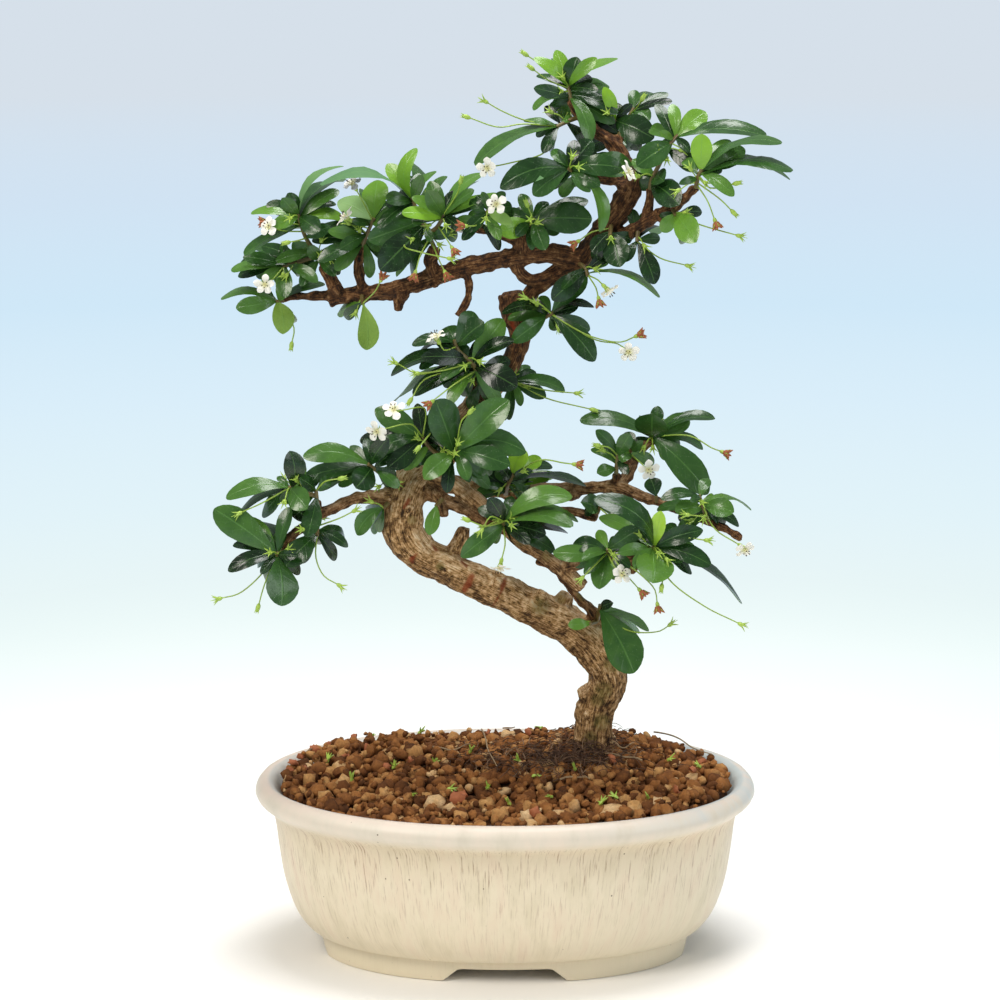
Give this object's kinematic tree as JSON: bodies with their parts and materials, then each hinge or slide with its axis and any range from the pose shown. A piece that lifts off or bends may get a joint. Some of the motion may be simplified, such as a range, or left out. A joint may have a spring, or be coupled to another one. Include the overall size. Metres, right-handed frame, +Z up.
{
  "type": "fukien tea bonsai in an oval pot",
  "caption": "Small flowering bonsai tree with a curved trunk, glossy leaf sprays and white flowers, standing in granular soil in an oval glazed pot with a footed base.",
  "frame": {"origin": "middle of the pot, on the surface that it stands on", "axes": "+Z up, +X to the right and +Y away from the viewer of the pictured side"},
  "size_m": [0.2424, 0.156, 0.3938],
  "materials": {
    "glaze": "cream glaze, softly glossy",
    "net_plastic": "matte black",
    "soil": "dry fired clay granules",
    "bark": "ridged living bark",
    "leaf": "waxy, glossy on the upper side",
    "petal": "thin, matte"
  },
  "bodies": {
    "root": {"pot": "glaze", "drain_net_left": "net_plastic", "drain_net_right": "net_plastic", "soil": "soil", "wood": "bark", "spray_apex": "leaf", "spray_apex_left": "leaf", "flower_1": "petal", "spray_crown_front": "leaf", "flower_2": "petal", "spray_crown_right": "leaf", "spray_crown_back": "leaf", "spray_right_tip": "leaf", "spray_right_under": "leaf", "spray_crown_low": "leaf", "spray_crown_low_right": "leaf", "spray_pad_high": "leaf", "flower_3": "petal", "flower_4": "petal", "spray_pad_middle": "leaf", "flower_5": "petal", "flower_6": "petal", "spray_pad_end": "leaf", "spray_pad_hanging": "leaf", "spray_centre_top": "leaf", "spray_centre_mid": "leaf", "flower_7": "petal", "spray_centre_knob": "leaf", "spray_leader_right": "leaf", "flower_8": "petal", "spray_stump_side": "leaf", "flower_9": "petal", "spray_middle_left": "leaf", "flower_10": "petal", "spray_middle_right": "leaf", "spray_middle_low": "leaf", "flower_11": "petal", "flower_12": "petal", "spray_left_upper": "leaf", "spray_left_inner": "leaf", "spray_left_low": "leaf", "spray_left_end": "leaf", "spray_bend_low": "leaf", "spray_right_high": "leaf", "spray_right_twig": "leaf", "spray_right_inner": "leaf", "flower_13": "petal", "spray_right_heart": "leaf", "spray_right_outer": "leaf", "flower_14": "petal", "spray_inner_stub": "leaf", "spray_low_right": "leaf", "spray_low_middle": "leaf", "flower_15": "petal", "spray_trunk_shoot": "leaf", "spray_centre_low": "leaf", "flower_16": "petal", "spray_young_shoot": "leaf", "spray_limb_leaf": "leaf"}
  },
  "joints": []
}
